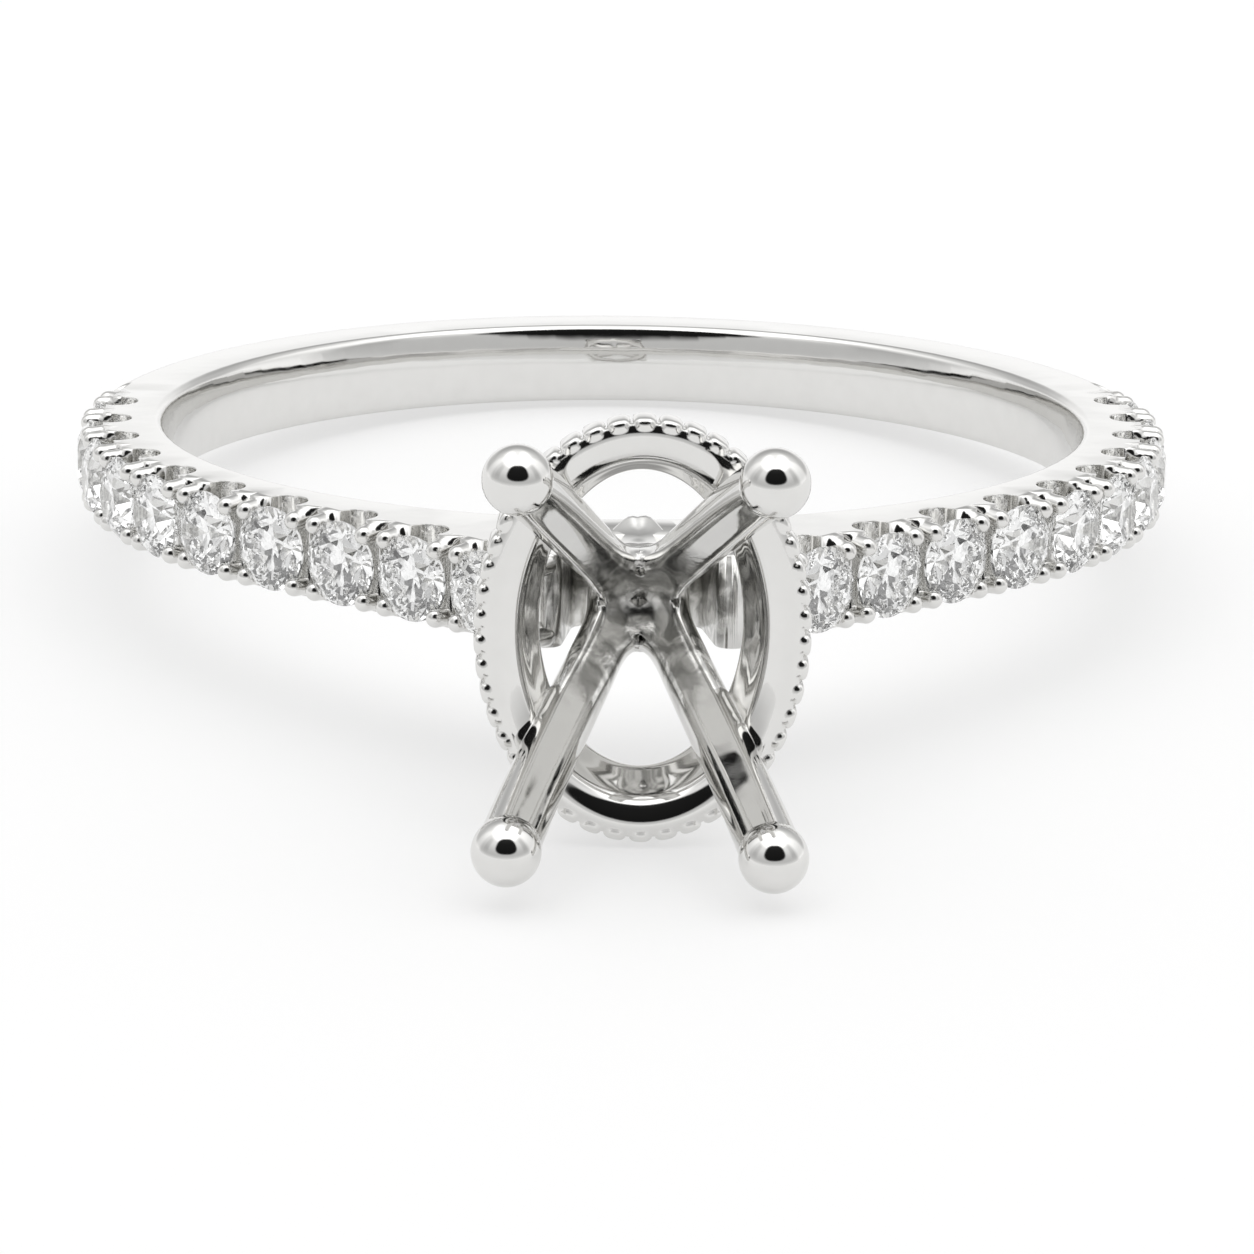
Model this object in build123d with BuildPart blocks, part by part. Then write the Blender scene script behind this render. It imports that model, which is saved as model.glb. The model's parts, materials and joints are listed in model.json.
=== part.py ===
# Semi mount ring: a plain band with a row of small round stones on each shoulder and an open head of four
# claws for an oval centre stone, which a semi mount leaves out.
# The ring is drawn with its finger hole along Z and the head towards -Y. At the end it is laid on its side.
# Lengths are millimetres and angles are degrees. A reach is a distance from the axis of the finger hole.
from build123d import *
import math
import os

os.makedirs("parts", exist_ok=True)

# Shank
finger_radius = 8.45
shank_outer_radius = 9.92
band_width = 1.56
inner_edge_round = 0.12
outer_edge_round = 0.30

# Shoulders: a row of stones follows a circle, and from shoulder_angle it runs straight on towards the head
row_radius = 9.83
shoulder_angle = 40.6
shoulder_end = 1.95
shoulder_round = 0.28

# Stones of the two rows
stone_count = 10
stone_diameter = 1.46
stone_pitch = 1.60
left_row_start = 2.54
right_row_start = 3.20
girdle_height = 0.045
facet_count = 8
table_share = 0.56
crown_angle = 34.0
star_angle = 20.5
upper_half_angle = 40.5
pavilion_angle = 41.0
lower_half_angle = 42.2
stone_clearance = 0.02

# Seats and bead prongs
floor_drop = 0.22
scallop_drop = 0.38
scallop_radius = 0.38
notch_drop = 0.48
notch_half_width = 0.14
bead_radius = 0.165
bead_along = 0.24
bead_across = 0.575
bead_rise = 0.03
bead_root = 0.16
bead_foot_length = 0.175
bead_foot_out = 0.035

# Bridge under the head, and the four claws that lean out from it
bridge_reach = 9.75
claw_foot_x = 0.45
claw_foot_z = 0.47
claw_foot_reach = 10.90
claw_tip_x = 2.03
claw_tip_z = 3.00
claw_tip_shares = {
    (-1, 1): (1.0, 1.0),
    (1, 1): (0.95, 0.99),
    (-1, -1): (1.07, 0.99),
    (1, -1): (1.0, 1.02),
}
claw_tip_reach = 15.49
claw_foot_radius = 0.40
claw_tip_radius = 0.50
claw_root = 1.75
ball_radius = 0.56
flat_foot_reach = 0.33
flat_tip_reach = 0.44
stem_radius = 0.58
stem_reach = 10.25

# Small drilled pits: one where the four claws meet, and one in each crotch between two neighbours
pit_radius = 0.055
centre_pit_radius = 0.075
pit_bottom_reach = 10.45
pit_length = 0.80
crotch_x = 0.63
crotch_z = 0.66

# Oval rim that joins the claws: half width along X, half width along Z and reach of each edge
rim_foot = (2.02, 2.86, 12.16)
rim_opening = (1.65, 2.47, 12.36)
rim_inner_edge = (1.92, 2.76, 12.98)
rim_roll = (2.05, 2.88, 13.18)
rim_face = (2.27, 3.07, 13.32)
rim_land = (2.50, 3.28, 13.36)
rim_waist = (2.60, 3.38, 12.98)
rim_top_reach = 13.36

# Row of grain beads round the rim
grain_count = 46
grain_radius = 0.18
grain_half_x = 2.62
grain_half_z = 3.42
grain_reach = 13.22

# Sizes that follow from those above
stone_radius = stone_diameter / 2
crown_height = stone_radius * (1 - table_share) * math.tan(math.radians(crown_angle))
pavilion_depth = stone_radius * math.tan(math.radians(pavilion_angle))
half_girdle = girdle_height / 2
straight_length = row_radius * math.tan(math.radians(shoulder_angle))


def row_angle(along):
    """Angle between the head's axis and the outward direction of the row, a distance along it."""
    past = max(along - straight_length, 0)
    return math.radians(shoulder_angle) + past / row_radius


def row_plane(along, side, drop=0):
    """Plane at a distance along a row, measured from where both straight shoulders would meet.

    Its Z axis points away from the finger and its X axis runs along the row.
    Drop sinks it towards the finger.
    Side is -1 for the left row and 1 for the right row.
    """
    turn = row_angle(along)
    missing = max(straight_length - along, 0)
    x = row_radius * math.sin(turn) - missing * math.cos(turn)
    y = -row_radius * math.cos(turn) - missing * math.sin(turn)
    outward = Vector(side * math.sin(turn), -math.cos(turn), 0)
    onward = Vector(side * math.cos(turn), math.sin(turn), 0)
    return Plane(origin=Vector(side * x, y, 0) - outward * drop, x_dir=onward, z_dir=outward)


def head_plane(reach):
    """Plane square to the head's axis, with its X axis along X and its Y axis along the finger hole."""
    return Plane(origin=(0, -reach, 0), x_dir=(1, 0, 0), z_dir=(0, -1, 0))


def on_circle(radius, angle, side):
    """Point on a circle round the finger hole, at an angle from the head's axis."""
    turn = math.radians(angle)
    return Vector(side * radius * math.sin(turn), -radius * math.cos(turn), 0)


row_starts = {-1: left_row_start, 1: right_row_start}
side_names = {-1: "left", 1: "right"}
sides = (-1, 1)


def stone_along(side, number):
    return row_starts[side] + (number + 0.5) * stone_pitch


def gap_along(side, number):
    return row_starts[side] + number * stone_pitch


def row_end_angle(side):
    """Angle at which the sunk floor of a row ends and the plain shank begins."""
    last_bead = gap_along(side, stone_count) + bead_along + bead_radius
    return math.degrees(row_angle(last_bead + stone_clearance))


# Shank: one outline in the plane of the ring, pushed out to the band's width
floor_radius = row_radius - floor_drop
nose = {side: row_plane(shoulder_end, side, floor_drop).origin for side in sides}
bridge_half = abs(nose[1].X) - shoulder_round


def cut_place(along, side, drop):
    """Place of a cut below the row, in the plane of the ring, with X away from the finger."""
    plane = row_plane(along, side, drop)
    return Location(plane.origin, (0, 0, math.degrees(math.atan2(plane.z_dir.Y, plane.z_dir.X))))


# A scallop opens the seat of each stone to the side, and a narrow notch parts the two prongs of each pair
scallop_places = [
    cut_place(stone_along(side, n), side, scallop_drop) for side in sides for n in range(stone_count)
]
notch_places = [
    cut_place(gap_along(side, n), side, notch_drop) for side in sides for n in range(stone_count + 1)
]
with BuildPart() as shank:
    with BuildSketch(Plane.XY):
        with BuildLine():
            left_end = on_circle(shank_outer_radius, row_end_angle(-1), -1)
            right_end = on_circle(shank_outer_radius, row_end_angle(1), 1)
            ThreePointArc(left_end, (0, shank_outer_radius), right_end)
            left_floor = on_circle(floor_radius, row_end_angle(-1), -1)
            right_floor = on_circle(floor_radius, row_end_angle(1), 1)
            Line(left_end, left_floor)
            Line(right_end, right_floor)
            left_bend = on_circle(floor_radius, shoulder_angle, -1)
            right_bend = on_circle(floor_radius, shoulder_angle, 1)
            left_middle = on_circle(floor_radius, (row_end_angle(-1) + shoulder_angle) / 2, -1)
            right_middle = on_circle(floor_radius, (row_end_angle(1) + shoulder_angle) / 2, 1)
            ThreePointArc(left_floor, left_middle, left_bend)
            ThreePointArc(right_floor, right_middle, right_bend)
            FilletPolyline(
                left_bend,
                nose[-1],
                (-bridge_half, -bridge_reach),
                (bridge_half, -bridge_reach),
                nose[1],
                right_bend,
                radius=shoulder_round,
            )
        make_face()
        Circle(finger_radius, mode=Mode.SUBTRACT)
        with Locations(*scallop_places):
            Circle(scallop_radius, mode=Mode.SUBTRACT)
            Rectangle(scallop_drop, 2 * scallop_radius, align=(Align.MIN, Align.CENTER), mode=Mode.SUBTRACT)
        with Locations(*notch_places):
            Polygon(
                (0, 0),
                (notch_drop, notch_half_width),
                (notch_drop, -notch_half_width),
                align=None,
                mode=Mode.SUBTRACT,
            )
    extrude(amount=band_width / 2, both=True)
    round_edges = shank.edges().filter_by(GeomType.CIRCLE)
    outer_edges = round_edges.filter_by(lambda edge: abs(edge.radius - shank_outer_radius) < 0.001)
    fillet(outer_edges, outer_edge_round)
    round_edges = shank.edges().filter_by(GeomType.CIRCLE)
    inner_edges = round_edges.filter_by(lambda edge: abs(edge.radius - finger_radius) < 0.001)
    fillet(inner_edges, inner_edge_round)

# One bead prong, with the centre of its round top at the origin and its foot set out towards the side
bead_length = floor_drop + bead_rise + bead_root
with BuildPart() as bead_prong:
    with BuildSketch(Plane.XY):
        Circle(bead_radius)
    with BuildSketch(Plane.XY.offset(-bead_length)):
        with Locations((0, bead_foot_out)):
            Ellipse(bead_foot_length, bead_radius)
    loft()
    with BuildSketch(Plane.XZ) as bead_half:
        Circle(bead_radius)
        Rectangle(bead_radius, 2 * bead_radius, align=(Align.MAX, Align.CENTER), mode=Mode.SUBTRACT)
    revolve(axis=Axis.Z)

# One seat cutter: the room that a stone takes, with its girdle at the origin and eight flats that face
# the prongs
seat_sections = [
    (-half_girdle - pavilion_depth, stone_clearance),
    (-half_girdle, stone_radius + stone_clearance),
    (half_girdle, stone_radius + stone_clearance),
    (half_girdle + crown_height, stone_radius * table_share + stone_clearance),
    (half_girdle + crown_height + bead_radius, stone_radius * table_share + stone_clearance),
]
facet_turn = 360 / facet_count
with BuildPart() as seat:
    for height, reach in seat_sections:
        with BuildSketch(Plane.XY.offset(height)):
            RegularPolygon(reach, facet_count, major_radius=False, rotation=facet_turn / 2)
    loft(ruled=True)


# One round brilliant stone, cut from a disc by its facets, with its girdle at the origin
def facet_plane(turn, slope, reach, height, upward):
    """Plane of a facet that faces a turn round the stone and slopes from level, at a reach from its axis.

    Upward is 1 for a facet of the crown and -1 for a facet of the pavilion.
    """
    facing = Vector(math.sin(math.radians(slope)), 0, upward * math.cos(math.radians(slope)))
    return Plane(
        origin=Vector(reach, 0, upward * height).rotate(Axis.Z, turn), z_dir=facing.rotate(Axis.Z, turn)
    )


table_height = half_girdle + crown_height
star_reach = stone_radius * table_share * math.cos(math.radians(facet_turn / 2))
facets = []
for n in range(facet_count):
    main_turn = n * facet_turn
    facets.append(facet_plane(main_turn, crown_angle, stone_radius, half_girdle, 1))
    facets.append(facet_plane(main_turn, pavilion_angle, stone_radius, half_girdle, -1))
    facets.append(facet_plane(main_turn + facet_turn / 2, star_angle, star_reach, table_height, 1))
    for half_turn in (main_turn - facet_turn / 4, main_turn + facet_turn / 4):
        facets.append(facet_plane(half_turn, upper_half_angle, stone_radius, half_girdle, 1))
        facets.append(facet_plane(half_turn, lower_half_angle, stone_radius, half_girdle, -1))
with BuildPart() as stone:
    with BuildSketch(Plane.XY.offset(table_height)):
        Circle(stone_radius)
    extrude(amount=-table_height - half_girdle - pavilion_depth)
    for facet in facets:
        split(bisect_by=facet, keep=Keep.BOTTOM)


# Claws: straight round wires with a flat along the side that faces the stone, each ending in a ball
def claw_plane(side_x, side_z):
    """Plane at a claw's foot: Z runs along the wire, and X points to the side where its flat is.

    The claws are bent by hand, so each tip takes its own share of the common place.
    """
    share_x, share_z = claw_tip_shares[side_x, side_z]
    foot = Vector(side_x * claw_foot_x, -claw_foot_reach, side_z * claw_foot_z)
    tip = Vector(side_x * claw_tip_x * share_x, -claw_tip_reach, side_z * claw_tip_z * share_z)
    run = (tip - foot).normalized()
    centre = Vector(-tip.X, 0, -tip.Z)
    return Plane(origin=foot, x_dir=(centre - run * centre.dot(run)).normalized(), z_dir=run)


claw_length = Vector(
    claw_tip_x - claw_foot_x, claw_tip_reach - claw_foot_reach, claw_tip_z - claw_foot_z
).length
with BuildPart() as claw:
    with BuildSketch(Plane.XY.offset(-claw_root)):
        Circle(claw_foot_radius)
    with BuildSketch(Plane.XY.offset(claw_length)):
        Circle(claw_tip_radius)
    loft()
    with BuildSketch(Plane.XZ):
        Polygon(
            (flat_foot_reach, -claw_root),
            (flat_tip_reach, claw_length),
            (2 * claw_tip_radius, claw_length),
            (2 * claw_tip_radius, -claw_root),
            align=None,
        )
    extrude(amount=claw_tip_radius, both=True, mode=Mode.SUBTRACT)
    with BuildSketch(Plane.XZ) as ball_half:
        with Locations((0, claw_length)):
            Circle(ball_radius)
            Rectangle(ball_radius, 2 * ball_radius, align=(Align.MAX, Align.CENTER), mode=Mode.SUBTRACT)
    revolve(axis=Axis.Z)

# Rim: a bowl-shaped oval ring with a rolled inner edge, lofted outside and cut through inside
with BuildPart() as rim:
    for half_x, half_z, reach in (rim_foot, rim_waist):
        with BuildSketch(head_plane(reach)):
            Ellipse(half_x, half_z)
    loft(ruled=True)
    with BuildSketch(head_plane(rim_waist[2])):
        Ellipse(rim_waist[0], rim_waist[1])
    extrude(amount=rim_top_reach - rim_waist[2])
    rim_inside = (rim_opening, rim_inner_edge, rim_roll, rim_face, rim_land)
    for lower, upper in zip(rim_inside, rim_inside[1:]):
        for half_x, half_z, reach in (lower, upper):
            with BuildSketch(head_plane(reach)):
                Ellipse(half_x, half_z)
        loft(ruled=True, mode=Mode.SUBTRACT)
    with BuildSketch(head_plane(rim_foot[2])):
        Ellipse(rim_opening[0], rim_opening[1])
    extrude(amount=rim_opening[2] - rim_foot[2], mode=Mode.SUBTRACT)

with BuildSketch(head_plane(grain_reach)) as grain_ring:
    Ellipse(grain_half_x, grain_half_z)
grain_edge = grain_ring.sketch.edge()
grain_places = [grain_edge.position_at((n + 0.5) / grain_count) for n in range(grain_count)]

# The whole metal part: everything above is soldered or cast into one piece
gap_places = [
    row_plane(gap_along(side, n), side).location for side in sides for n in range(stone_count + 1)
]
half_turn = Location((0, 0, 0), (0, 0, 180))
bead_places = [
    place * turned * Location((along, bead_across, bead_rise))
    for place in gap_places
    for turned in (Location(), half_turn)
    for along in (-bead_along, bead_along)
]
stone_places = [
    row_plane(stone_along(side, n), side).location for side in sides for n in range(stone_count)
]
claw_places = [claw_plane(i, j).location for i in sides for j in sides]
crotches = [(crotch_x, 0), (-crotch_x, 0), (0, crotch_z), (0, -crotch_z)]
with BuildPart() as ring_mount:
    add(shank.part)
    with BuildSketch(head_plane(bridge_reach - stem_radius)):
        Circle(stem_radius)
    extrude(amount=stem_reach - bridge_reach + stem_radius)
    with Locations(*claw_places):
        add(claw.part)
    with BuildSketch(head_plane(pit_bottom_reach)):
        Circle(centre_pit_radius)
        with Locations(*crotches):
            Circle(pit_radius)
    extrude(amount=pit_length, mode=Mode.SUBTRACT)
    add(rim.part)
    with Locations(*grain_places):
        Sphere(grain_radius)
    with Locations(*bead_places):
        add(bead_prong.part)
    with Locations(*stone_places):
        add(seat.part, mode=Mode.SUBTRACT)

# The ring laid on its side: it rests on the lowest grain beads in front and on the edge of the shank behind
front_reach = grain_reach
front_height = -grain_half_z
rear_reach = -(shank_outer_radius - outer_edge_round)
rear_height = -(band_width / 2 - outer_edge_round)
span = math.hypot(front_reach - rear_reach, rear_height - front_height)
rest_tilt = math.degrees(
    math.atan2(rear_height - front_height, front_reach - rear_reach)
    - math.asin((outer_edge_round - grain_radius) / span)
)
ring_mount.part.move(Location((0, 0, 0), (-rest_tilt, 0, 0)))
box = ring_mount.part.bounding_box()
settle = Location((0, -box.center().Y, -box.min.Z))
ring_mount.part.move(settle)
ring_mount.part.label = "ring_mount"
export_step(ring_mount.part, "parts/ring_mount.step")
rest = settle * Location((0, 0, 0), (-rest_tilt, 0, 0))

# The twenty stones, each in its seat
for side in sides:
    for n in range(stone_count):
        with BuildPart(row_plane(stone_along(side, n), side)) as row_stone:
            add(stone.part)
        name = f"{side_names[side]}_stone_{n + 1}"
        row_stone.part.move(rest)
        row_stone.part.label = name
        export_step(row_stone.part, f"parts/{name}.step")
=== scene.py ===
# %% [markdown]
# # Semi mount ring
# A slim white gold ring lies on its side on a pale table. Both shoulders carry a row of small brilliants, and the
# open head waits for an oval stone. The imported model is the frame, and every piece is made in that frame, in metres.

# %% The frame
import json
import math
import bmesh
import bpy
from mathutils import Matrix, Vector


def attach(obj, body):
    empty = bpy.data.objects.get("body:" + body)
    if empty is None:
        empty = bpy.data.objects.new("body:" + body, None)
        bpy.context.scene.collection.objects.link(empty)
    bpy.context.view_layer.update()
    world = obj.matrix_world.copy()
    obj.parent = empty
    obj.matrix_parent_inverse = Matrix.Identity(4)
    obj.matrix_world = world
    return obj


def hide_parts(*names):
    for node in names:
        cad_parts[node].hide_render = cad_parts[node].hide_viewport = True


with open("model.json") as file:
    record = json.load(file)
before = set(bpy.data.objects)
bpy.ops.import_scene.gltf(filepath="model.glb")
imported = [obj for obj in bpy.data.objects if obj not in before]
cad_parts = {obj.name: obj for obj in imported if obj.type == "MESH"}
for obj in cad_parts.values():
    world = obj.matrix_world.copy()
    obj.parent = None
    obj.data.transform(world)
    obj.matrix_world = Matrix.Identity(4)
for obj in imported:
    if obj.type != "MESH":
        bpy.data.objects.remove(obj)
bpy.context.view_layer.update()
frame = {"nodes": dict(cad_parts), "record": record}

# %% [markdown]
# ## Shader maths
# A material is a graph of nodes, and a sum on node sockets is hard to read when it takes five lines. This small class
# wraps a socket, so that a plain Python expression such as 1 - mask adds the nodes by itself.

# %% A socket that can be added and multiplied
class Flow:
    """One output socket, with arithmetic that adds Math nodes."""

    def __init__(self, graph, socket):
        self.graph, self.socket = graph, socket

    def maths(self, operation, *others, swap=False):
        values = [self, *others]
        if swap:
            values.reverse()
        return self.graph.node("ShaderNodeMath", {"operation": operation}, dict(enumerate(values)))

    def __add__(self, other): return self.maths("ADD", other)
    def __radd__(self, other): return self.maths("ADD", other, swap=True)
    def __sub__(self, other): return self.maths("SUBTRACT", other)
    def __rsub__(self, other): return self.maths("SUBTRACT", other, swap=True)
    def __mul__(self, other): return self.maths("MULTIPLY", other)
    def __rmul__(self, other): return self.maths("MULTIPLY", other, swap=True)


class Graph:
    """A node tree that is filled one node at a time."""

    def __init__(self, tree):
        self.tree = tree
        tree.nodes.clear()

    def node(self, kind, settings=None, inputs=None, output=0):
        made = self.tree.nodes.new(kind)
        for name, value in (settings or {}).items():
            setattr(made, name, value)
        for name, value in (inputs or {}).items():
            if isinstance(value, Flow):
                self.tree.links.new(value.socket, made.inputs[name])
            else:
                made.inputs[name].default_value = value
        return Flow(self, made.outputs[output]) if made.outputs else None

    def vector(self, operation, *inputs, output=0):
        return self.node("ShaderNodeVectorMath", {"operation": operation}, dict(enumerate(inputs)), output)

    def dot(self, first, second):
        return self.vector("DOT_PRODUCT", first, second, output=1)

    def step(self, value, low, high, out_low=0.0, out_high=1.0):
        """Smooth change from out_low to out_high while the value goes from low to high."""
        inputs = {"Value": value, "From Min": low, "From Max": high, "To Min": out_low, "To Max": out_high}
        return self.node("ShaderNodeMapRange", {"interpolation_type": "SMOOTHSTEP"}, inputs)

    def noise(self, place, scale, detail, distortion=0.0):
        inputs = {"Vector": place, "Scale": scale, "Detail": detail, "Distortion": distortion}
        return self.node("ShaderNodeTexNoise", None, inputs, "Fac")

    def blend(self, factor, first, second):
        """Colour between two colours."""
        inputs = {"Factor": factor, "A": first, "B": second}
        return self.node("ShaderNodeMix", {"data_type": "RGBA"}, inputs, 2)

    def strip(self, value, low, high, soft):
        """One between low and high, nought outside, with soft edges."""
        rise = self.step(value, low - soft, low + soft)
        return rise * self.step(value, high - soft, high + soft, 1.0, 0.0)


def new_material(name):
    material = bpy.data.materials.new(name)
    material.use_nodes = True
    return material, Graph(material.node_tree)


def finish_material(graph, settings):
    shader = graph.node("ShaderNodeBsdfPrincipled", None, settings)
    graph.node("ShaderNodeOutputMaterial", None, {"Surface": shader})


# %% [markdown]
# ## The light tent
# Polished metal has hardly any colour of its own: it shows its surroundings. The ring stood in a white light tent with
# a bright ceiling, darker seams at the corners and a dark opening in front for the lens. Lamps and cards would show
# up in other views, so the world paints that tent by direction.

# %% Surroundings painted by direction
scene = bpy.context.scene
scene.view_settings.view_transform = "Standard"
scene.cycles.max_bounces = 24
scene.cycles.glossy_bounces = 20
scene.cycles.transmission_bounces = 20
world = bpy.data.worlds.new("light tent")
scene.world = world
world.use_nodes = True
sky = Graph(world.node_tree)
direction = sky.node("ShaderNodeTexCoord", None, None, "Generated")
x, y, z = (sky.node("ShaderNodeSeparateXYZ", None, {0: direction}, i) for i in range(3))
height = z.maths("ARCSINE") * (180 / math.pi)
turn = x.maths("ARCTAN2", 0 - y) * (180 / math.pi)

side_turn = turn.maths("ABSOLUTE")

# Heights are degrees above the table's level, and turns are degrees away from the lens, positive to the right
table_glow, wall_glow, upper_glow, ceiling_glow = 0.86, 0.58, 0.36, 1.65
walls = sky.step(height, -3, 9, table_glow, wall_glow) + sky.step(height, 10, 50, 0.0, upper_glow)
below_ceiling = sky.strip(height, -4, 56, 8)
side_lights = sky.strip(turn, 84, 120, 8) * 0.34 + sky.strip(turn, -122, -98, 8) * 0.25
seams = (sky.strip(turn, -84, -66, 4) + sky.strip(turn, 62, 78, 4)) * sky.strip(height, 13, 49, 9)
seam_shade = 0.20
tent = (walls + side_lights * below_ceiling) * (1 - seams * seam_shade)
ceiling = sky.step(height, 46, 62)
tent = tent * (1 - ceiling) + ceiling * ceiling_glow

# The wall behind the ring is darker, the ceiling falls off above it, and the sheet's far edge glows at its foot
rear_shade, rear_ceiling_shade, rear_foot_glow = 0.40, 0.30, 0.36
rear_wall = sky.step(side_turn, 112, 170) * sky.strip(height, 21, 46, 6)
rear_ceiling = sky.step(side_turn, 152, 176) * sky.strip(height, 50, 78, 6)
rear_foot = sky.step(side_turn, 140, 165) * sky.strip(height, 0, 14, 5)
tent = tent * (1 - rear_wall * rear_shade)
tent = tent * (1 - rear_ceiling * rear_ceiling_shade)
tent = tent + rear_foot * rear_foot_glow

# The dark opening for the lens is a rounded rectangle: half its width and height, its middle, and how square it is
opening_wide, opening_tall, opening_middle, roundness = 42, 26, 40, 3
opening_shade = 0.985
wide = (side_turn * (1 / opening_wide)).maths("POWER", roundness)
tall = ((height - opening_middle).maths("ABSOLUTE") * (1 / opening_tall)).maths("POWER", roundness)
opening = sky.step(wide + tall, 0.72, 1.25, 1.0, 0.0)
tent = tent * (1 - opening * opening_shade)

# The lens sees a plain white backdrop, and the tent lights the ring
tent_glow = 1.10
seen = sky.node("ShaderNodeLightPath", None, None, "Is Camera Ray")
strength = tent * tent_glow * (1 - seen) + seen
background = sky.node("ShaderNodeBackground", None, {"Color": (1, 1, 1, 1), "Strength": strength})
sky.node("ShaderNodeOutputWorld", None, {"Surface": background})
print("world nodes", len(world.node_tree.nodes))

# %% [markdown]
# ## The table
# The table is a lit white sheet: part of its brightness comes through it from below, which keeps the shadow of the
# ring faint. A plain pale surface with a little light of its own does the same.

# %% The table
table_half = 1.5
table_mesh = bpy.data.meshes.new("table")
shape = bmesh.new()
bmesh.ops.create_grid(shape, x_segments=1, y_segments=1, size=table_half)
shape.to_mesh(table_mesh)
shape.free()
table = bpy.data.objects.new("table", table_mesh)
scene.collection.objects.link(table)
paper, graph = new_material("lit white sheet")
finish_material(graph, {
    "Base Color": (0.46, 0.46, 0.46, 1), "Roughness": 0.7, "Specular IOR Level": 0.2,
    "Emission Color": (1, 1, 1, 1), "Emission Strength": 0.53,
})
table_mesh.materials.append(paper)
print("table", 2 * table_half, "m wide")

# %% [markdown]
# ## The camera
# A long lens looks down on the ring from in front, a little from the left. Its place and its three directions were
# found by laying known points of the ring over the photo.

# %% The camera
lens = bpy.data.cameras.new("camera")
lens.sensor_width = 36
lens.lens = 138.617
lens.clip_start = 0.005
camera = bpy.data.objects.new("camera", lens)
scene.collection.objects.link(camera)
right = Vector((0.99958093, -0.02444335, 0.01550772))
up = Vector((-0.00545551, 0.36704689, 0.93018644))
ahead = Vector((0.02842894, 0.92988123, -0.36675972))
turned = Matrix((right, up, -ahead)).transposed()
camera.matrix_world = Matrix.Translation((-0.00244604, -0.08162424, 0.03194493)) @ turned.to_4x4()
scene.camera = camera
print("camera looks along", [round(value, 3) for value in ahead])

# %% [markdown]
# ## The ring's own frame
# The ring lies tipped forward on its rim, so its pieces are easier to make upright: finger hole along Z, head towards
# -Y, lengths in millimetres. The record names the bore of the ring, and its place and axis give the matrix that lays
# each piece down where the CAD has it.

# %% From the ring's own frame to the table
bore = next(mount for mount in frame["record"]["mounts"] if mount["name"] == "finger_bore")
bore_axis = Vector(bore["axis"]).normalized()
back = bore_axis.cross(Vector((1, 0, 0))).normalized()
columns = Matrix((Vector((1, 0, 0)), back, bore_axis)).transposed()
lay_down = Matrix.Translation(bore["pos_m"]) @ columns.to_4x4() @ Matrix.Scale(0.001, 4)
print("head points along", [round(value, 4) for value in -back])


def finish_piece(shape, name, material):
    """Turn a bmesh that is already laid down into a piece of the ring."""
    bmesh.ops.recalc_face_normals(shape, faces=shape.faces)
    mesh = bpy.data.meshes.new(name)
    shape.to_mesh(mesh)
    shape.free()
    mesh.shade_smooth()
    mesh.set_sharp_from_angle(angle=math.radians(32))
    mesh.materials.append(material)
    piece = bpy.data.objects.new(name, mesh)
    scene.collection.objects.link(piece)
    weighted = piece.modifiers.new("even shading", "WEIGHTED_NORMAL")
    weighted.keep_sharp = True
    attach(piece, "root")
    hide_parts("ring_mount")
    print(name, len(mesh.polygons), "faces")


# %% [markdown]
# ## White gold
# Rhodium plated white gold is a neutral, nearly perfect mirror. Hand polish leaves it slightly uneven: broad soft
# read by the shader shows without extra faces. A wheel can't reach the hollow where the four claws meet, so the sides
# that face it are rougher and a little bumpy; their colour is also darkened in mottled patches, which is painted shade
# of the hollow. The mask for both is made from where a point is and which way it faces.

# %% White gold
gold, graph = new_material("white gold")
place = graph.node("ShaderNodeTexCoord", None, None, "Object")
normal = graph.node("ShaderNodeNewGeometry", None, None, "Normal")
waves = graph.noise(place, 900.0, 2.0)
wear = graph.noise(place, 2600.0, 3.0)
mottle_noise = graph.noise(place, 2200.0, 4.0, 1.2)

# Where the painted shade and the rougher finish go: near the hollow, on sides that face the head's axis or look out
# along it
hollow = lay_down @ Vector((0, -11.0, 0))
offset = graph.vector("SUBTRACT", place, hollow)
forward = graph.node("ShaderNodeCombineXYZ", None, dict(enumerate(-back)))
ahead_part = graph.dot(offset, forward)
ahead_parts = graph.node("ShaderNodeCombineXYZ", None, dict.fromkeys(range(3), ahead_part))
along_axis = graph.vector("MULTIPLY", forward, ahead_parts)
inward = graph.vector("NORMALIZE", graph.vector("SUBTRACT", along_axis, offset))
facing = graph.dot(normal, inward) * 0.8 + graph.dot(normal, forward) * 0.6
distance = graph.vector("LENGTH", offset, output=1) + wear * 0.0006
hollow_shade_and_dull = graph.step(distance, 0.0016, 0.0031, 1.0, 0.0) * graph.step(facing, 0.30, 0.62)

worn_edge = graph.node("ShaderNodeBevel", {"samples": 6}, {"Radius": 0.00004})
bumps = {"Height": waves + mottle_noise * hollow_shade_and_dull * 2.0, "Distance": 0.000006, "Strength": 1.0, "Normal": worn_edge}
clean = graph.blend(wear, (0.71, 0.705, 0.69, 1), (0.76, 0.755, 0.74, 1))
# Painted shade: in the hollow the metal's colour is darkened in mottled patches
mottled_painted_shade = graph.blend(graph.step(mottle_noise, 0.36, 0.66), (0.27, 0.267, 0.255, 1), (0.70, 0.695, 0.675, 1))
finish_material(graph, {
    "Base Color": graph.blend(hollow_shade_and_dull, clean, mottled_painted_shade), "Metallic": 1.0,
    "Roughness": graph.step(wear, 0.3, 0.7, 0.025, 0.07) + hollow_shade_and_dull * 0.20,
    "Normal": graph.node("ShaderNodeBump", None, bumps),
})
print("white gold", len(gold.node_tree.nodes), "nodes")

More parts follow.
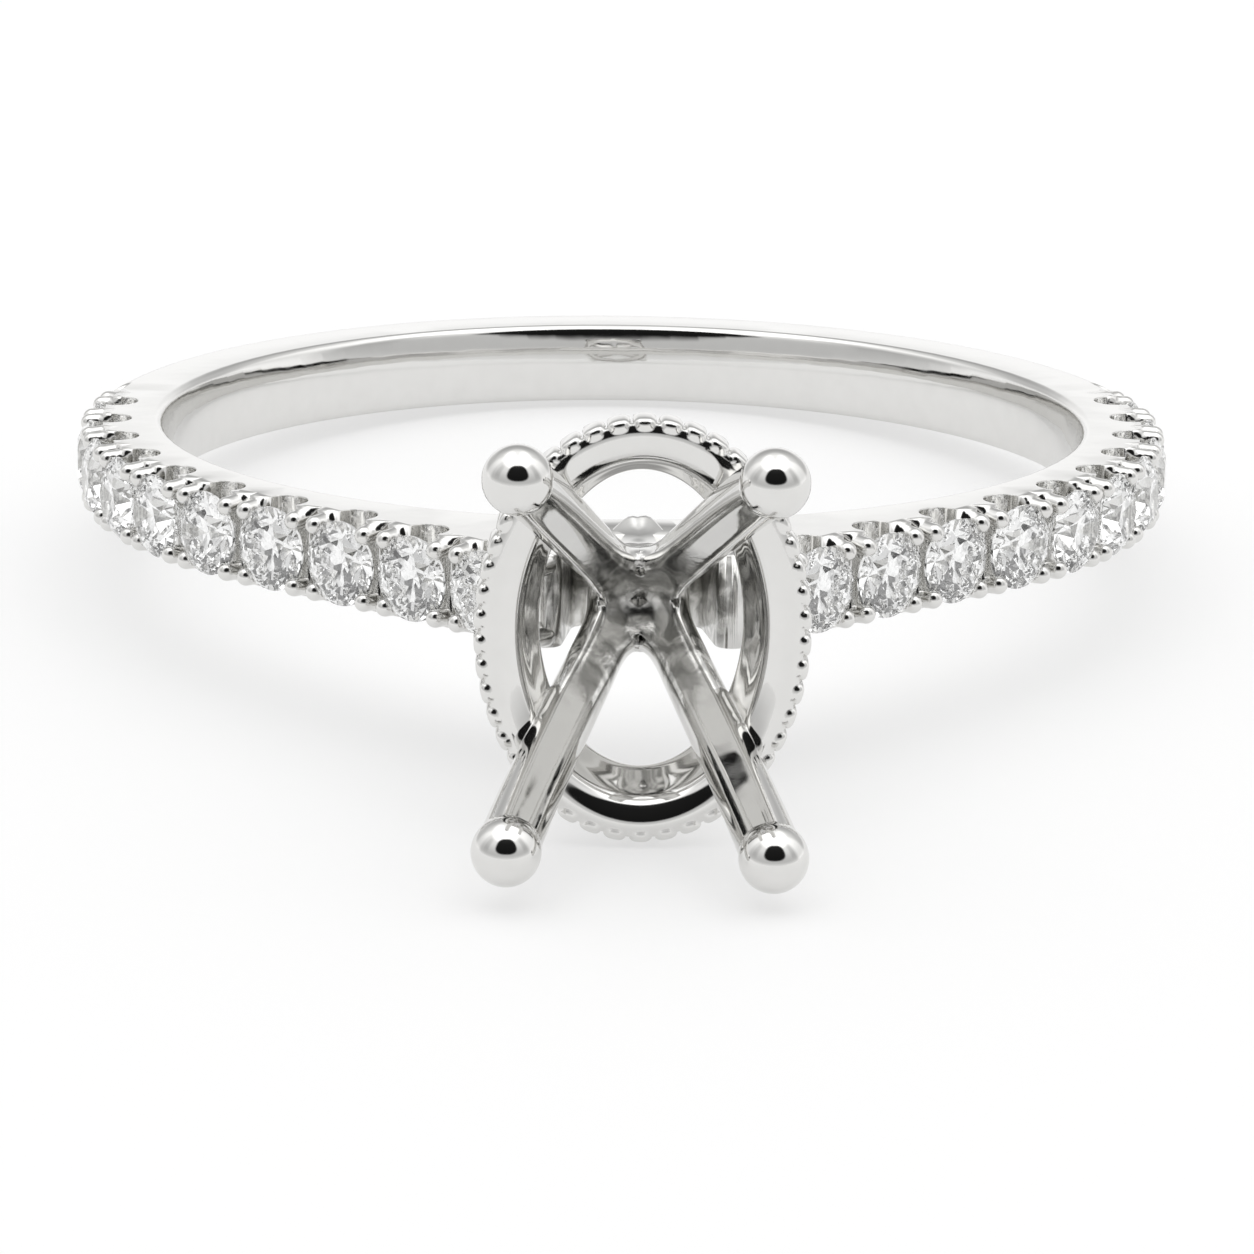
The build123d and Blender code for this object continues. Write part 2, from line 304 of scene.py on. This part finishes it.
# %% [markdown]
# ## The band
# The shank with its scalloped seats and prongs is right in the CAD, so a merged copy of its mesh is kept, and only
# the head is taken off it, to be made again with finer curves. One cut goes above the shoulders, and one goes lower
# down between them, through the foot of the head. The wall of the finger hole is a little crowned for comfort, so
# that its upper half looks up at the lens opening: level cuts are added round it, and its points move out.

# %% The band, without its head
own = lay_down.inverted()
above_shoulders = 11.75
bridge_reach = 9.75
# A face of the foot may lie this far below the bridge's top, and the cut goes this far above it
below_bridge, above_bridge = 0.02, 0.04
# Half the width of the foot at the bridge, and what it gains for each millimetre above
foot_half, foot_spread = 0.66, 0.36


def cut_level(shape, faces, point, facing, clear=False):
    """Cut some faces with a plane, and clear what lies beyond it if asked."""
    # A dictionary drops repeats but keeps the order, so that each run gives the same mesh
    parts = dict.fromkeys(item for face in faces for item in (face, *face.edges, *face.verts))
    bmesh.ops.bisect_plane(
        shape, geom=list(parts), dist=1e-8, plane_co=lay_down @ Vector(point), plane_no=facing, clear_outer=clear
    )


def between_shoulders(face):
    """True for a face of the head's foot: near the head's axis, above the bridge."""
    middle = own @ face.calc_center_median()
    above = -middle.y - bridge_reach
    return above > -below_bridge and abs(middle.x) < foot_half + foot_spread * above


shape = bmesh.new()
shape.from_mesh(bpy.data.objects["ring_mount"].data)
bmesh.ops.remove_doubles(shape, verts=shape.verts, dist=1e-6)
cut_level(shape, shape.faces[:], (0, -above_shoulders, 0), -back, clear=True)
foot = [face for face in shape.faces if between_shoulders(face)]
cut_level(shape, foot, (0, -bridge_reach - above_bridge, 0), -back, clear=True)

# The wall of the finger hole gets level cuts, and then its edges move outward
inner_reach = 8.62
crown = 0.095
half_band = 0.78
cut_height = 0.1
for n in range(-6, 7):
    wall = [face for face in shape.faces if all((own @ vert.co).xy.length < inner_reach for vert in face.verts)]
    cut_level(shape, wall, (0, 0, cut_height * n), bore_axis)
for vert in shape.verts:
    spot = own @ vert.co
    reach = spot.xy.length
    if reach < inner_reach:
        grown = 1 + crown * (spot.z / half_band) ** 2 / reach
        vert.co = lay_down @ Vector((spot.x * grown, spot.y * grown, spot.z))
finish_piece(shape, "band", gold)

# %% [markdown]
# ## The claws
# A claw is a wire that leans out from the foot of the head and ends in a ball. It starts as a pipe: a circle is pulled
# up ring by ring, and then each of its points is sent to its real place by the pipe's level and its turn.

# %% A pipe that can be bent to any section
def pull_pipe(shape, sides, levels, spot):
    """Add a closed pipe, and move each vertex to spot(level, turn)."""
    made = bmesh.ops.create_circle(shape, cap_ends=True, segments=sides, radius=1)
    verts = list(made["verts"])
    edges = list(dict.fromkeys(edge for vert in verts for edge in vert.link_edges))
    for level in range(1, levels):
        raised = bmesh.ops.extrude_edge_only(shape, edges=edges)["geom"]
        fresh = [item for item in raised if isinstance(item, bmesh.types.BMVert)]
        bmesh.ops.translate(shape, verts=fresh, vec=(0, 0, 1))
        drawn = [item for item in raised if isinstance(item, bmesh.types.BMEdge)]
        edges = [edge for edge in drawn if all(vert in fresh for vert in edge.verts)]
        verts += fresh
    bmesh.ops.contextual_create(shape, geom=edges)
    for vert in verts:
        vert.co = spot(round(vert.co.z), math.atan2(vert.co.y, vert.co.x))


# %% [markdown]
# ## The melted joint
# The inner side of each wire is filed flat. Where the four wires were soldered, the metal ran together into soft webs
# and a shallow dish. A distance tells how far a point is from one wire, and the four distances are blended where they
# are alike, which gives the surface of all four wires melted together.

# %% The four wires, and the surface of all of them melted together
claw_foot_x, claw_foot_reach, claw_foot_z = 0.45, 10.90, 0.47
claw_tips = {(-1, 1): (2.03, 3.00), (1, 1): (1.93, 2.97), (-1, -1): (2.17, 2.97), (1, -1): (2.03, 3.06)}
tip_reach = 15.49
claw_bow, bow_lean = 0.14, 1.7
foot_radius, radius_gain = 0.43, 0.07
flat_depth, depth_gain = 0.335, 0.105
# Degrees by which the flat of a claw turns round its wire, and where along the wire it starts and how far it takes
flat_turns = {(-1, 1): 0, (1, 1): 0, (-1, -1): 14, (1, -1): -9}
turn_start, turn_length = 0.9, 1.4
melt = 0.62
edge_round = 0.05


class Wire:
    """One claw: the line of its middle, and the directions towards the head's axis and across."""

    def __init__(self, side_x, side_z):
        tip_x, tip_z = claw_tips[side_x, side_z]
        self.foot = Vector((side_x * claw_foot_x, -claw_foot_reach, side_z * claw_foot_z))
        self.tip = Vector((side_x * tip_x, -tip_reach, side_z * tip_z))
        self.length = (self.tip - self.foot).length
        self.run = (self.tip - self.foot).normalized()
        inward = Vector((-self.tip.x, 0, -self.tip.z))
        self.inward = (inward - self.run * inward.dot(self.run)).normalized()
        self.across = self.run.cross(self.inward)
        self.flat_turn = math.radians(flat_turns[side_x, side_z])

    def share(self, along):
        return min(max(along / self.length, 0), 1)

    def bow(self, along):
        """How far the wire bends away from the straight line, outward from the head's axis."""
        return claw_bow * math.sin(math.pi * self.share(along) ** bow_lean)

    def section(self, along):
        """Radius of the wire and depth of its flat, at a place along it."""
        return foot_radius + radius_gain * self.share(along), flat_depth + depth_gain * self.share(along)

    def turned(self, along):
        """How far the flat has turned round the wire, at a place along it."""
        share = min(max((along - turn_start) / turn_length, 0), 1)
        return self.flat_turn * share * share * (3 - 2 * share)

    def away(self, point):
        """Distance of a point from the surface of this wire, negative inside it."""
        offset = point - self.foot
        along = offset.dot(self.run)
        depth = offset.dot(self.inward) + self.bow(along)
        radius, flat = self.section(along)
        aside = offset.dot(self.across)
        lean = self.turned(along)
        round_side = math.hypot(depth, aside) - radius
        flat_side = depth * math.cos(lean) + aside * math.sin(lean) - flat
        near = max(edge_round - abs(round_side - flat_side), 0)
        return max(round_side, flat_side) + near * near / (4 * edge_round)


wires = {(i, j): Wire(i, j) for i in (-1, 1) for j in (-1, 1)}


def melted(point):
    """Distance of a point from the surface of the four wires melted together."""
    values = sorted(wire.away(point) for wire in wires.values())
    total = values[0]
    for value in values[1:]:
        near = max(melt - (value - total), 0)
        total -= near * near / (4 * melt)
    return total


print("claw length", round(wires[1, 1].length, 2), "mm")

# %% [markdown]
# ## Pits and balls
# Every point of a pipe goes out from the wire's middle until it meets the surface. Small pits were drilled where the
# claws part, so the points there are sunk, with a low lip. Each claw is cut off at the two planes between it and its
# neighbours, so that the four fit together without lying in each other.

# %% The four claws
claw_root = 1.15
joint_end = 2.2
joint_step = 0.05
joint_levels = round((joint_end + claw_root) / joint_step)
plain_levels = 30
claw_sides = 88
ray_step = 0.10
ray_end = 1.4
halvings = 8
ball_radius = 0.56
# Each pit: place across and along the finger hole, and radius
pits = [(0, 0, 0.085), (0, 0.56, 0.06), (0, -0.58, 0.06), (0.60, 0, 0.05), (-0.60, 0, 0.05)]
pit_depth = 0.16
pit_lip = 0.018
pit_floor = claw_foot_reach - 0.3


def drilled(point):
    """The point, sunk where it lies in a pit and raised a little on its lip."""
    for x, z, radius in pits:
        out = math.hypot(point.x - x, point.z - z) / radius
        if out < 2.2 and -point.y > pit_floor:
            point.y += pit_depth * min(max((1.15 - out) * 2.5, 0), 1)
            point.y -= pit_lip * math.exp(-((out - 1.5) / 0.3) ** 2)
    return point


def make_claw(shape, wire):
    def spot(level, turn):
        """Where a point of the pipe goes: out from the wire's middle, found by halving the way to the surface."""
        joined = level <= joint_levels
        if joined:
            along = -claw_root + level * joint_step
        else:
            along = joint_end + (wire.length - joint_end) * (level - joint_levels) / plain_levels
        middle = wire.foot + wire.run * along - wire.inward * wire.bow(along)
        outward = wire.inward * math.cos(turn) + wire.across * math.sin(turn)
        radius, flat = wire.section(along)
        facing = math.cos(turn - wire.turned(along))
        if radius * facing > flat:
            radius = flat / facing
        away = melted if joined else wire.away
        inside, outside = radius * 0.75, radius * 1.03
        while outside < ray_end and away(middle + outward * outside) < 0:
            inside, outside = outside, outside + ray_step
        for _ in range(halvings):
            half = (inside + outside) / 2
            if away(middle + outward * half) < 0:
                inside = half
            else:
                outside = half
        point = middle + outward * inside
        return drilled(point) if joined and math.cos(turn) > 0 else point

    pull_pipe(shape, claw_sides, joint_levels + plain_levels + 1, spot)
    for normal in (Vector((1, 0, 0)), Vector((0, 0, 1))):
        outside = normal * -math.copysign(1, wire.tip.dot(normal))
        bmesh.ops.bisect_plane(
            shape, geom=shape.verts[:] + shape.edges[:] + shape.faces[:], dist=1e-5, plane_co=(0, 0, 0),
            plane_no=outside, clear_outer=True,
        )
    ball = bmesh.ops.create_uvsphere(shape, u_segments=56, v_segments=36, radius=ball_radius)
    bmesh.ops.translate(shape, verts=ball["verts"], vec=wire.tip)


head = bmesh.new()
for wire in wires.values():
    shape = bmesh.new()
    make_claw(shape, wire)
    kept = bpy.data.meshes.new("claw")
    shape.to_mesh(kept)
    shape.free()
    head.from_mesh(kept)
    bpy.data.meshes.remove(kept)
print("claws", len(head.faces), "faces")

# %% [markdown]
# ## The rim
# The oval rim ties the claws together. Its section has an inner wall that flares, a rolled inner edge and a broad,
# nearly level face. One section is spun round the head's axis, and the round ring is then stretched to the oval.
# The rim shares its mesh with the claws, so its points are gathered first by walking along its edges.

# %% The oval rim
# Each row: half width along X and reach
rim_section = [
    (2.02, 12.16), (2.20, 12.40), (2.38, 12.66), (2.52, 12.88), (2.58, 13.02), (2.60, 13.16), (2.60, 13.21),
    (2.585, 13.245), (2.55, 13.268), (2.48, 13.288), (2.42, 13.298), (2.36, 13.298), (2.30, 13.285), (2.22, 13.255),
    (2.14, 13.22), (2.07, 13.18), (2.02, 13.13), (1.98, 13.07), (1.95, 13.00), (1.93, 12.93), (1.86, 12.80),
    (1.78, 12.62), (1.70, 12.46), (1.66, 12.38), (1.65, 12.34), (1.655, 12.28), (1.68, 12.20), (1.72, 12.16),
]
rim_steps = 180
longer = 0.82
profile = [head.verts.new((half, -reach, 0)) for half, reach in rim_section]
edges = [head.edges.new(pair) for pair in zip(profile, profile[1:] + profile[:1])]
bmesh.ops.spin(
    head, geom=profile + edges, cent=(0, 0, 0), axis=(0, 1, 0), dvec=(0, 0, 0), angle=math.tau, steps=rim_steps,
    use_merge=True, use_normal_flip=False, use_duplicate=False,
)
rim_verts = set(profile)
waiting = list(profile)
while waiting:
    vert = waiting.pop()
    for edge in vert.link_edges:
        other = edge.other_vert(vert)
        if other not in rim_verts:
            rim_verts.add(other)
            waiting.append(other)
for vert in rim_verts:
    vert.co.z *= 1 + longer / math.hypot(vert.co.x, vert.co.z)
print("rim", len(rim_verts), "points")

# %% [markdown]
# ## The grain edge
# A wheel pressed a row of grains into the rim's outer edge. Each one is a short pillow with a squared-off round top,
# most of it sunk in the rim. A sphere whose sides are pushed out towards a cube gives that shape with few faces.

# %% The grain edge
grain_count = 46
grain_half_x, grain_half_z = 2.59, 3.385
grain_along, grain_out, grain_up = 0.195, 0.125, 0.20
grain_low, grain_high = 12.86, 13.10
squareness = 0.72
# A fine outline is measured, so that the grains stand at even steps along the oval
fine = 2000
turns = [math.tau * n / fine for n in range(fine + 1)]
outline = [Vector((grain_half_x * math.cos(turn), grain_half_z * math.sin(turn))) for turn in turns]
lengths = [0.0]
for first, second in zip(outline, outline[1:]):
    lengths.append(lengths[-1] + (second - first).length)
for n in range(grain_count):
    wanted = (n + 0.5) / grain_count * lengths[-1]
    at = next(i for i, length in enumerate(lengths) if length >= wanted)
    run = (outline[(at + 1) % fine] - outline[at - 1]).normalized()
    out = Vector((run.y, -run.x))
    grain = bmesh.ops.create_uvsphere(head, u_segments=16, v_segments=12, radius=1)["verts"]
    for vert in grain:
        a, b, c = (math.copysign(abs(value) ** squareness, value) for value in vert.co)
        spot = outline[at] + run * a * grain_along + out * b * grain_out
        reach = grain_high + c * grain_up if c > 0.001 else grain_low + c * grain_up
        vert.co = (spot.x, -reach, spot.y)
print("grain spacing", round(lengths[-1] / grain_count, 3), "mm")

# %% [markdown]
# ## The foot of the head
# A short round stem joins the claws to the bridge. It widens a little towards the bridge, where it was soldered.

# %% The stem
stem_low, stem_high, stem_length, stem_middle = 0.66, 0.42, 0.95, 10.05
stem = bmesh.ops.create_cone(
    head, cap_ends=True, segments=64, radius1=stem_low, radius2=stem_high, depth=stem_length
)["verts"]
bmesh.ops.rotate(head, verts=stem, cent=(0, 0, 0), matrix=Matrix.Rotation(math.pi / 2, 3, "X"))
bmesh.ops.translate(head, verts=stem, vec=(0, -stem_middle, 0))

bmesh.ops.transform(head, verts=head.verts, matrix=lay_down)
finish_piece(head, "head", gold)

# %% [markdown]
# ## The stones
# The brilliants are clear, so their look comes from light that is bent and turned back inside them, and the CAD
# facets are already right. A cut stone is never quite empty: a faint cloud makes it a little less clear in places,
# and its facets carry the faintest haze of wear.

# %% The stones
glass, graph = new_material("clear stone")
place = graph.node("ShaderNodeTexCoord", None, None, "Object")
cloud = graph.noise(place, 1500.0, 2.0)
finish_material(graph, {
    "Base Color": graph.blend(cloud, (1, 1, 1, 1), (0.965, 0.97, 0.965, 1)),
    "Roughness": graph.step(cloud, 0.55, 0.75, 0.0, 0.02), "IOR": 2.42, "Transmission Weight": 1.0,
})
for name in frame["nodes"]:
    if "stone" in name:
        stone = bpy.data.objects[name]
        stone.data.materials.clear()
        stone.data.materials.append(glass)
print(sum("stone" in name for name in frame["nodes"]), "stones")
